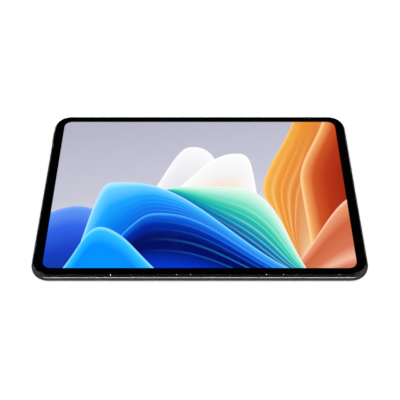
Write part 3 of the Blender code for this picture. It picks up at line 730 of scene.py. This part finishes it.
def flex_circuit():
    """Amber polyimide film over fine copper lines."""
    finish = Finish("flex circuit", roughness=0.35, Coat_Weight=0.4, Coat_Roughness=0.15)
    x, _, _ = finish.axes()
    lines = smooth(-0.2, 0.4, sine(x * 11.0))
    finish.colour(ramp(lines, [(0.0, (96, 52, 14)), (1.0, (176, 104, 34))]))
    finish.bump(lines, 0.02, 0.4)
    return finish.material


def chip_resin():
    finish = Finish("chip resin")
    speckle = finish.noise(0.15, 3.0)
    finish.shades(speckle, (20, 20, 22), (34, 34, 37))
    finish.rough(finish.noise(1.2, 3.0), 0.38, 0.5)
    finish.bump(speckle, 0.01, 0.5)
    return finish.material


def battery_foil():
    """Matt black laminate foil, slightly wrinkled over the cell."""
    finish = Finish("battery foil", metallic=0.25)
    wrinkles = finish.noise(5.0, 5.0, (1.0, 0.6, 1.0), 1.2)
    finish.shades(finish.noise(20.0, 3.0), (38, 38, 41), (56, 56, 60))
    finish.rough(wrinkles, 0.32, 0.5)
    finish.bump(wrinkles, 0.12, 0.6)
    finish.bump(finish.noise(0.2, 2.0), 0.006, 0.4)
    return finish.material


def graphite_foil():
    finish = Finish("graphite foil", metallic=0.3)
    flakes = finish.cells(0.35)
    finish.shades(flakes, (30, 30, 31), (66, 66, 68), 0.1, 0.6)
    finish.rough(flakes, 0.45, 0.65)
    finish.bump(finish.noise(3.0, 4.0), 0.02, 0.5)
    return finish.material


def white_film(name, tint):
    """Diffusing film or light guide, dotted so that it spreads the light evenly."""
    finish = Finish(name, roughness=0.4, Transmission_Weight=0.35, IOR=1.49)
    dots = finish.cells(0.6, randomness=0.15)
    finish.colour(ramp(dots, [(0.25, tint), (0.45, (236, 240, 242))]))
    finish.bump(dots, 0.01, 0.5)
    return finish.material


def foam_tape():
    finish = Finish("foam tape")
    foam = finish.cells(0.12)
    finish.shades(foam, (12, 12, 12), (30, 30, 30), 0.1, 0.7)
    finish.rough(foam, 0.75, 0.9)
    finish.bump(foam, 0.02, 0.8)
    return finish.material


def lens_glass(name, dark, light):
    """Coated dark glass over a deep barrel."""
    finish = Finish(name, roughness=0.04, Coat_Weight=1.0, Coat_Roughness=0.02, IOR=1.6)
    finish.shades(finish.noise(2.5, 2.0), dark, light)
    finish.rough(finish.noise(3.0, 3.0), 0.03, 0.07)
    return finish.material


def dust_mesh():
    """Woven black wire cloth."""
    finish = Finish("speaker dust mesh", metallic=0.6, roughness=0.5)
    _, y, z = finish.axes()
    weave = sine(y * 22.0) * sine(z * 22.0)
    finish.colour(ramp(weave * 0.5 + 0.5, [(0.3, (3, 3, 3)), (0.7, (48, 48, 50))]))
    finish.bump(weave, 0.05, 1.0)
    return finish.material


def gold():
    finish = Finish("gold contacts", metallic=1.0)
    grain = finish.noise(0.1, 3.0)
    finish.shades(grain, (214, 168, 84), (238, 198, 118))
    finish.rough(grain, 0.2, 0.34)
    finish.bump(grain, 0.003, 0.5)
    return finish.material


METAL = anodised("anodised graphite", (50, 50, 53), (56, 56, 59))
KEY_METAL = anodised("anodised keys", (54, 54, 57), (62, 62, 65), (0.26, 0.34))
RING_METAL = anodised("anodised camera ring", (54, 54, 57), (64, 64, 67))
GLASS = clear_glass()
INK = black_ink()
# Painted shade: near-black colour for the glass's side, which only looks dark
EDGE_SHADE_PAINT = painted_edge_shade()
DISPLAY = lit_display()
FRAME_PLASTIC = moulded("display frame plastic", (11, 11, 12), (16, 16, 17), specular=0.08)
PLASTIC = moulded("black plastic", (24, 24, 26), (34, 34, 36))
ANTENNA = moulded("antenna window plastic", (38, 38, 40), (44, 44, 46), (0.34, 0.44), 0.09)
TIN = brushed("tinned steel", (186, 186, 184), (208, 208, 206))
STEEL = brushed("stainless steel", (168, 169, 171), (196, 197, 199), (0.2, 0.3), (1.0, 0.06, 1.0))
BOARD = circuit_board()
FLEX = flex_circuit()
CHIP = chip_resin()
FOIL = battery_foil()
GRAPHITE = graphite_foil()
FILM = white_film("optical films", (214, 220, 226))
GUIDE = white_film("light guide", (222, 232, 236))
TAPE = foam_tape()
LENS = lens_glass("coated lens", (6, 12, 16), (14, 26, 30))
FRONT_LENS = lens_glass("front lens", (26, 52, 54), (36, 66, 66))
MESH = dust_mesh()
GOLD = gold()

KEPT_NODES = {
    TIN: [
        *(f"{chip}_shield" for chip in ("processor", "power", "wireless")),
        "card_reader",
        *(f"microphone_{i}" for i in (1, 2)),
    ],
    STEEL: [
        "backlight_tray",
        "power_bracket",
        "volume_bracket",
        "power_switch",
        *(f"board_screw_{i}" for i in (1, 2, 3, 4)),
        *(f"usb_screw_{i}" for i in (1, 2)),
        "power_bracket_screw",
        "volume_bracket_screw",
    ],
    BOARD: ["main_board", "usb_board", "battery_board", "display_driver_board"],
    FLEX: ["main_flex", "display_flex", "volume_switches"],
    CHIP: ["processor", "storage_chip", "power_chip", "wireless_chip"],
    FOIL: ["battery_cell_left", "battery_cell_right"],
    PLASTIC: [f"speaker_{i}" for i in (1, 2, 3, 4)],
    MESH: [f"speaker_mesh_{i}" for i in (1, 2, 3, 4)],
    GRAPHITE: ["heat_spreader"],
    FILM: ["optical_films", "led_strip"],
    GUIDE: ["light_guide"],
    TAPE: ["display_adhesive"],
    DISPLAY: ["lcd_panel"],
}


def dress_kept_nodes():
    for material, names in KEPT_NODES.items():
        for name in names:
            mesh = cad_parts[name].data
            mesh.materials.clear()
            mesh.materials.append(material)
            mesh.shade_smooth()
            mesh.set_sharp_from_angle(angle=SHARP_ANGLE)


# ---------------------------------------------------------------- glass, print and frame


def make_glass():
    """The glass with its rounded upper edge, the ink on its underside and painted shade on its side."""
    centre = (GLASS_INSET + GLASS_EDGE_RUN, GLASS_EDGE_Z)
    edge = arc(centre, (GLASS_EDGE_RUN, GLASS_TOP - GLASS_EDGE_Z), 0, 90, 14)
    profile = [(GLASS_INSET + 0.1, GLASS_LOW), (GLASS_INSET, GLASS_LOW + 0.1), *edge]
    window = along("Z", rounded(SCREEN_X / 2, SCREEN_Y / 2, SCREEN_CORNER), GLASS_LOW)
    shape = skin([window, *(body_ring(inset, z) for inset, z in profile)])
    skim = 0.015  # cut just deep enough for the eye to have a face of its own, free of ink
    eye = lathe("Z", (0, FRONT_CAMERA_Y), [(EYE_RADIUS, GLASS_LOW - 1), (EYE_RADIUS, GLASS_LOW + skim)], 32)
    glass = piece("glass_cover", shape, GLASS, ["cover_glass"], "cover_glass", cuts=[eye])
    glass.data.materials.append(EDGE_SHADE_PAINT)
    glass.data.materials.append(INK)
    painted_shade_side, inked = 1, 2
    for face in glass.data.polygons:
        x, y, z = face.center / MM
        # Faces of the glass's side get painted shade, a near-black colour where the side only looks dark
        if z < GLASS_EDGE_Z and abs(face.normal.z) < 0.9:
            face.material_index = painted_shade_side
        in_window = abs(x) < 1 and abs(y) < 1
        in_eye = math.hypot(x, y - FRONT_CAMERA_Y) < EYE_RADIUS
        if z < GLASS_LOW + 0.01 and face.normal.z < -0.9 and not in_window and not in_eye:
            face.material_index = inked


def make_print():
    """The black border print, as a thin layer under the glass."""
    screen = rounded(SCREEN_X / 2, SCREEN_Y / 2, SCREEN_CORNER)
    ring = [
        body_ring(GLASS_INSET + 0.2, PRINT_Z[0]),
        body_ring(GLASS_INSET + 0.2, PRINT_Z[1]),
        along("Z", screen, PRINT_Z[1]),
        along("Z", screen, PRINT_Z[0]),
    ]
    eye = lathe("Z", (0, FRONT_CAMERA_Y), [(EYE_RADIUS, 5), (EYE_RADIUS, 7)], 32)
    piece("border_print", skin(ring, closed=True), INK, ["bezel_print"], "black_ink", cuts=[eye])


def make_frame():
    """The plastic frame between glass and metal, with its lip inside the housing's wall."""
    low, high = box("lcd_panel")
    room, panel_corner = 0.3, 6.0
    half = (high - low) / 2
    hole = rounded(half.x + room, half.y + room, panel_corner + room, (0, (low.y + high.y) / 2))
    bottom, top = FRAME_Z
    softening = 0.06
    lip_outside, lip_inside, lip_low = WALL_INSET + 0.2, WALL_INSET + 0.9, bottom - 0.6
    ring = [
        body_ring(GLASS_INSET + softening, bottom),
        body_ring(GLASS_INSET, bottom + softening),
        body_ring(GLASS_INSET, top - softening),
        body_ring(GLASS_INSET + softening, top),
        along("Z", hole, top),
        along("Z", hole, bottom - 0.02),
        body_ring(lip_inside, bottom - 0.02),
        body_ring(lip_inside, lip_low),
        body_ring(lip_outside, lip_low),
        body_ring(lip_outside, bottom),
    ]
    barrel_room = lathe("Z", (0, FRONT_CAMERA_Y), [(FRONT_BARREL_ROOM, 3), (FRONT_BARREL_ROOM, 7)], 32)
    shape = skin(ring, closed=True)
    piece("frame_under_glass", shape, FRAME_PLASTIC, ["display_frame"], "black_plastic", cuts=[barrel_room])


# ---------------------------------------------------------------- housing


def housing_profile():
    """(inset, z) from the back face, round the outside, over the rim and down to the inner floor."""
    rim_angle = math.degrees(math.acos((SHOULDER_RADIUS - RIM_INSET) / SHOULDER_RADIUS))
    lower = arc((LOWER_RADIUS, LOWER_RADIUS), (LOWER_RADIUS, LOWER_RADIUS), -90, 0, 12)
    shoulder = arc((SHOULDER_RADIUS, SHOULDER_Z), (SHOULDER_RADIUS, SHOULDER_RADIUS), 0, rim_angle, 12)
    rim_z = shoulder[-1][1]
    wall = [(WALL_INSET - 0.1, rim_z), (WALL_INSET, rim_z - 0.1), (WALL_INSET, INNER_FLOOR_Z)]
    return lower + shoulder + wall


def side_hole(axis, side, centre, radius, wall):
    """A round hole from the outside through a wall, with a chamfered mouth."""
    profile = [
        (radius, side * (wall - WALL_INSET - 0.5)),
        (radius, side * (wall - HOLE_CHAMFER)),
        (radius + HOLE_CHAMFER, side * wall),
        (radius + HOLE_CHAMFER, side * (wall + 0.5)),
    ]
    return lathe(axis, centre, profile, 24)


def side_slot(axis, side, centre, length, height, wall, chamfer):
    """A slot with round ends from the outside through a wall, with a chamfered mouth."""
    levels = [
        (0, wall - WALL_INSET - 0.5),
        (0, wall - chamfer),
        (2 * chamfer, wall),
        (2 * chamfer, wall + 0.5),
    ]
    rings = [along(axis, stadium(centre, length + grow, height + grow, 14), side * w) for grow, w in levels]
    return skin(rings)


def window_block(side, gap):
    """The block of the far edge that an antenna window takes up, grown by a gap."""
    left, right = sorted((side * WINDOW_X[0], side * WINDOW_X[1]))
    return brick((left - gap, WINDOW_Y - gap, -1), (right + gap, HALF_Y + 1, 7))


def boss(x, y):
    """A screw boss on the inner floor, with a chamfered blind hole."""
    profile = [(1.9, 0.5), (1.9, 1.85), (1.8, 1.95), (0.85, 1.95), (0.75, 1.85), (0.75, 1.1)]
    return lathe("Z", (x, y), profile, 32)


def make_housing():
    """The metal housing with all its openings, its screw bosses, and the plastic windows that fit into it."""
    shell = skin([body_ring(inset, z) for inset, z in housing_profile()])
    holes = []
    for side in (-1, 1):
        for half in (-1, 1):
            for i in range(HOLES_PER_SPEAKER):
                y = half * SPEAKER_Y + (i - (HOLES_PER_SPEAKER - 1) / 2) * HOLE_PITCH
                holes.append(side_hole("X", side, (y, SIDE_Z), HOLE_RADIUS, HALF_X))
    holes.append(side_hole("Y", 1, (MIC_EDGE_X, SIDE_Z), MIC_RADIUS, HALF_Y))
    holes.append(side_hole("X", 1, (MIC_SIDE_Y, SIDE_Z), MIC_RADIUS, HALF_X))
    slots = [
        ("X", -1, (POWER_Y, SIDE_Z), POWER_LENGTH, KEY_HEIGHT, HALF_X, HOLE_CHAMFER),
        ("Y", 1, (ROCKER_X, SIDE_Z), ROCKER_LENGTH, KEY_HEIGHT, HALF_Y, HOLE_CHAMFER),
        ("Y", 1, (TRAY_X, DOOR_Z), DOOR_LENGTH, DOOR_HEIGHT, HALF_Y, DOOR_CHAMFER),
        ("X", 1, (0, PORT_Z), PORT_LENGTH, PORT_HEIGHT, HALF_X, PORT_CHAMFER),
    ]
    grown = 2 * KEY_CLEARANCE
    for axis, side, centre, length, height, wall, chamfer in slots:
        holes.append(side_slot(axis, side, centre, length + grown, height + grown, wall, chamfer))
    centre = (0, REAR_CAMERA_Y)
    seat, hole = RING_RADIUS + RING_GAP, NECK_RADIUS + RING_GAP
    holes.append(lathe("Z", centre, [(seat, -1), (seat, RING_SEAT_Z), (hole, RING_SEAT_Z), (hole, 1.3)], 96))
    windows = joined([window_block(side, WINDOW_GAP) for side in (-1, 1)])
    cuts = [joined(holes), windows]
    piece("aluminium_housing", shell, METAL, ["rear_housing"], "housing_metal", cuts=cuts)
    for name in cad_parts:
        if "screw" in name:
            low, high = box(name)
            centre = (low + high) / 2
            piece(name + "_boss", boss(centre.x, centre.y), METAL, slot="housing_metal")
    for side, name in ((-1, "left"), (1, "right")):
        node, block = "antenna_window_" + name, window_block(side, 0)
        piece("antenna_cover_" + name, shell, ANTENNA, [node], "antenna_plastic", within=[block])


# ---------------------------------------------------------------- keys, tray and socket


def key_shape(axis, side, centre, length, surface, gap):
    """A key with a crowned face, its neck in the wall and its flange behind it, and where its back is."""
    face = surface + KEY_PROUD
    flange = surface - WALL_INSET - gap
    back = flange - KEY_FLANGE
    crown = [(-1.1, 0.0), (-0.62, 0.02), (-0.3, 0.09), (-0.1, 0.2), (0, 0.36)]
    levels = [*((grow, face - drop) for grow, drop in crown), (0, flange)]
    rings = [along(axis, stadium(centre, length + grow, KEY_HEIGHT + grow), side * w) for grow, w in levels]
    for w in (flange, back):
        rings.append(along(axis, stadium(centre, length + 1.6, KEY_HEIGHT + 0.8), side * w))
    return skin(rings), back


def make_keys():
    """The power key and the volume key, each with nubs that press its switches."""
    key, back = key_shape("X", -1, (POWER_Y, SIDE_Z), POWER_LENGTH, HALF_X, 0.1)
    nub = lathe("X", (POWER_Y, SIDE_Z), [(0.8, -back - 0.05), (0.8, 0.4 - back), (0.7, 0.5 - back)], 24)
    piece("power_key", joined([key, nub]), KEY_METAL, ["power_button"], "key_metal", "power_button")
    key, back = key_shape("Y", 1, (ROCKER_X, SIDE_Z), ROCKER_LENGTH, HALF_Y, 0.35)
    profile = [(0.7, back - 0.3), (0.8, back - 0.2), (0.8, back + 0.05)]
    nubs = [lathe("Y", (ROCKER_X + end * ROCKER_SWITCH_X, SIDE_Z), profile, 24) for end in (-1, 1)]
    piece("volume_key", joined([key, *nubs]), KEY_METAL, ["volume_rocker"], "key_metal", "volume_rocker")


def make_card_tray():
    """The tray's door with its pin hole, and the carrier behind it with a pocket for the card."""
    door = [
        along("Y", stadium((TRAY_X, DOOR_Z), DOOR_LENGTH + grow, DOOR_HEIGHT + grow, 12), HALF_Y - back)
        for grow, back in ((-0.3, 0.0), (-0.1, 0.04), (0.0, 0.15), (0.0, 1.2))
    ]
    pin_hole = lathe("Y", (TRAY_X + 5.0, DOOR_Z + 0.02), [
        (0.45, HALF_Y - 0.8),
        (0.45, HALF_Y - 0.08),
        (0.53, HALF_Y),
        (0.53, HALF_Y + 0.5),
    ], 24)
    piece("card_tray_door", skin(door), KEY_METAL, ["card_tray"], "key_metal", "card_tray", cuts=[pin_hole])
    plate = rounded(6.3, 8.2, 1.0, (TRAY_X, HALF_Y - 1.15 - 8.2), 8)
    pocket = rounded(5.6, 7.5, 0.8, (TRAY_X, HALF_Y - 2.2 - 7.5), 8)
    carrier = skin([along("Z", plate, z) for z in (2.84, 3.42)])
    room = skin([along("Z", pocket, z) for z in (3.0, 4.2)])
    on_tray = {"slot": "black_plastic", "body": "card_tray"}
    piece("card_tray_carrier", carrier, PLASTIC, cuts=[room], bevel=0.06, **on_tray)


def make_socket():
    """The drawn steel shell with rounded lips, the tongue, and its two rows of gold contacts."""
    face = HALF_X - PORT_RECESS
    back = face - PORT_DEPTH
    wall = PORT_WALL
    levels = [
        (0.0, back),
        (0.0, face - 0.1),
        (0.1, face - 0.03),
        (0.2, face),
        (2 * wall - 0.2, face),
        (2 * wall - 0.06, face - 0.06),
        (2 * wall, face - 0.2),
        (2 * wall, back + wall),
    ]
    rings = [
        along("X", stadium((0, PORT_Z), PORT_LENGTH - less, PORT_HEIGHT - less, 14), x)
        for less, x in levels
    ]
    piece("socket_shell", skin(rings), STEEL, ["usb_c_shell"], "steel")
    root = rounded(3.9, 1.05, 0.6, (0, PORT_Z), 6)
    blade = rounded(3.33, 0.35, 0.3, (0, PORT_Z), 6)
    tip = rounded(3.13, 0.2, 0.15, (0, PORT_Z), 6)
    start = back + wall + 0.05
    sections = [
        (root, start),
        (root, start + 1.8),
        (blade, start + 1.8),
        (blade, face - 1.0),
        (tip, face - 0.8),
    ]
    tongue = skin([along("X", outline, x) for outline, x in sections])
    piece("socket_tongue", tongue, PLASTIC, ["usb_c_tongue"], "black_plastic")
    contacts = []
    for side in (-1, 1):
        for i in range(CONTACTS_PER_ROW):
            y = (i - (CONTACTS_PER_ROW - 1) / 2) * CONTACT_PITCH
            low, high = sorted((PORT_Z + side * 0.34, PORT_Z + side * 0.38))
            contacts.append(brick((start + 1.9, y - 0.13, low), (face - 1.15, y + 0.13, high)))
    piece("socket_contacts", joined(contacts), GOLD, slot="steel")


# ---------------------------------------------------------------- cameras


def lens_dome(radius, foot, shoulder, rise):
    """(radius, z) of a domed lens that stands on its foot and bulges from its shoulder by rise."""
    angles = (0.0, 0.3, 0.6, 0.9, 1.2, 1.45)
    return [(radius, foot), *((radius * math.cos(a), shoulder + rise * math.sin(a)) for a in angles)]


def make_front_camera():
    centre = (0, FRONT_CAMERA_Y)
    module = brick((-3.2, 83.4, 1.6), (3.2, 88.4, 3.2))
    profile = [(1.6, 3.0), (1.6, 5.5), (1.5, 5.6), (1.15, 5.6), (1.0, 5.45), (0.95, 5.2)]
    barrel = lathe("Z", centre, profile, 48)
    piece("front_camera_module", joined([module, barrel]), PLASTIC, ["front_camera"], "chip")
    dome = lathe("Z", centre, lens_dome(0.94, 5.1, 5.22, 0.3), 48)
    piece("front_camera_lens", dome, FRONT_LENS, slot="lens_glass")


def make_rear_camera():
    """The ring that frames the window, the window, and the module with its stepped barrel and lens."""
    centre = (0, REAR_CAMERA_Y)
    seat = RING_SEAT_Z - 0.05
    low = -RING_PROUD
    ring = [
        (RING_RADIUS, seat),
        (RING_RADIUS, low + 0.3),
        (RING_RADIUS - 0.06, low + 0.14),
        (RING_RADIUS - 0.2, low + 0.04),
        (RING_RADIUS - 0.4, low),
        (6.8, low),
        (6.66, low + 0.04),
        (6.6, low + 0.16),
        (6.6, -0.15),
        (5.6, -0.15),
        (5.6, INNER_FLOOR_Z),
        (NECK_RADIUS, INNER_FLOOR_Z),
        (NECK_RADIUS, seat),
    ]
    ring = lathe("Z", centre, ring, 128, closed=True)
    piece("rear_camera_ring", ring, RING_METAL, ["camera_ring"], "camera_metal")
    window = [(6.4, -0.2), (6.4, low + 0.22), (6.33, low + 0.15)]
    piece("rear_camera_window", lathe("Z", centre, window, 96), GLASS, ["camera_window"], "lens_glass")

    module = brick((-4.6, 67.4, 1.1), (4.6, 76.6, 3.55))
    barrel = [(3.1, 1.5), (3.1, 0.1)]
    for step in range(5):
        radius = 2.9 - 0.22 * step
        barrel += [(radius, 0.1 + 0.09 * step), (radius, 0.19 + 0.09 * step)]
    module = joined([module, lathe("Z", centre, barrel, 64)])
    piece("rear_camera_module", module, PLASTIC, ["rear_camera"], "chip")
    dome = lathe("Z", centre, lens_dome(2.0, 0.8, 0.6, -0.35), 64)
    piece("rear_camera_lens", dome, LENS, slot="lens_glass")


# ---------------------------------------------------------------- studio


# Lengths here are in metres, apart from the lens and the glow's radii, which are in millimetres
TARGET = Vector((0.0002, -0.0129, GLASS_TOP * MM))
CAMERA_ELEVATION = 45.06
CAMERA_DISTANCE = 0.7237
CAMERA_LENS = 81.81

TABLE_Z = CAD_BOX[0].z
HALF_TABLE = 3.0
# The table's own light makes up for the softboxes where they reach it less
GLOW_NEAR, GLOW_FAR = 450.0, 1800.0
TABLE_GLOW = (0.45, 0.95)

SOFTBOX_SIZE, SOFTBOX_ELEVATION, SOFTBOX_DISTANCE, SOFTBOX_POWER = (1.2, 1.2), 50, 1.5, 13
STRIP_SIZE, STRIP_DISTANCE = (1.6, 0.2), 1.3
HORIZON, CEILING = (0.96, 0.96, 0.96, 1.0), (0.01, 0.01, 0.01, 1.0)


def make_floor():
    finish = Finish(
        "lit white table",
        roughness=0.9,
        Specular_IOR_Level=0.1,
        Emission_Color=(1.0, 1.0, 0.995, 1.0),
    )
    x, y, _ = finish.axes()
    glow = smooth(GLOW_NEAR**2, GLOW_FAR**2, x * x + y * y, *TABLE_GLOW)
    finish.tree.links.new(glow.socket, finish.shader.inputs["Emission Strength"])
    finish.shades(finish.noise(60.0, 4.0), (243, 243, 242), (247, 247, 246))
    finish.bump(finish.noise(2.0, 3.0), 0.02, 0.2)
    corners = [(-1, -1), (1, -1), (1, 1), (-1, 1)]
    mesh = bpy.data.meshes.new("floor")
    mesh.from_pydata([(u * HALF_TABLE, v * HALF_TABLE, TABLE_Z) for u, v in corners], [], [(0, 1, 2, 3)])
    mesh.materials.append(finish.material)
    floor = bpy.data.objects.new("studio_floor", mesh)
    bpy.context.scene.collection.objects.link(floor)


def towards(azimuth, elevation):
    """The unit vector from the tablet to a place in the studio. Azimuth 0 faces its near long edge."""
    a, e = math.radians(azimuth), math.radians(elevation)
    return Vector((math.sin(a) * math.cos(e), -math.cos(a) * math.cos(e), math.sin(e)))


def softbox(name, azimuth, elevation, distance, size, power):
    """A soft lamp that faces the tablet."""
    data = bpy.data.lights.new(name, "AREA")
    data.shape = "RECTANGLE"
    data.size, data.size_y = size
    data.energy = power
    light = bpy.data.objects.new(name, data)
    away = towards(azimuth, elevation)
    light.location = TARGET + away * distance
    light.rotation_euler = away.to_track_quat("Z", "Y").to_euler()
    light.visible_camera = False
    bpy.context.scene.collection.objects.link(light)


def make_world():
    """A pale horizon under a dark studio ceiling, so that the glass stays black."""
    world = bpy.context.scene.world or bpy.data.worlds.new("studio")
    bpy.context.scene.world = world
    world.use_nodes = True
    tree = world.node_tree
    coordinates = tree.nodes.new("ShaderNodeTexCoord")
    split = tree.nodes.new("ShaderNodeSeparateXYZ")
    tree.links.new(coordinates.outputs["Generated"], split.inputs[0])
    height = Field(tree, split.outputs[2])
    sky = ramp(height, [
        (0.0, HORIZON),
        (0.13, HORIZON),
        (0.32, CEILING),
    ])
    tree.links.new(sky, tree.nodes["Background"].inputs["Color"])


def make_camera():
    data = bpy.data.cameras.new("camera")
    data.lens = CAMERA_LENS
    data.sensor_width = 36.0
    camera = bpy.data.objects.new("camera", data)
    camera.location = TARGET + towards(0, CAMERA_ELEVATION) * CAMERA_DISTANCE
    camera.rotation_euler = (math.radians(90 - CAMERA_ELEVATION), 0, 0)
    bpy.context.scene.collection.objects.link(camera)
    bpy.context.scene.camera = camera


def make_studio():
    bpy.context.scene.view_settings.view_transform = "Standard"
    make_camera()
    make_floor()
    make_world()
    for name, azimuth in (("left softbox", -95), ("right softbox", 95)):
        softbox(name, azimuth, SOFTBOX_ELEVATION, SOFTBOX_DISTANCE, SOFTBOX_SIZE, SOFTBOX_POWER)
    for name, azimuth, elevation, power in (
        ("front strip", 0, 4.8, 52),
        ("left strip", -90, 5.5, 1.5),
        ("right strip", 90, 5.5, 1.5),
        ("back strip", 180, 5.5, 1.5),
    ):
        softbox(name, azimuth, elevation, STRIP_DISTANCE, STRIP_SIZE, power)


dress_kept_nodes()
make_glass()
make_print()
make_frame()
make_housing()
make_keys()
make_card_tray()
make_socket()
make_front_camera()
make_rear_camera()
make_studio()
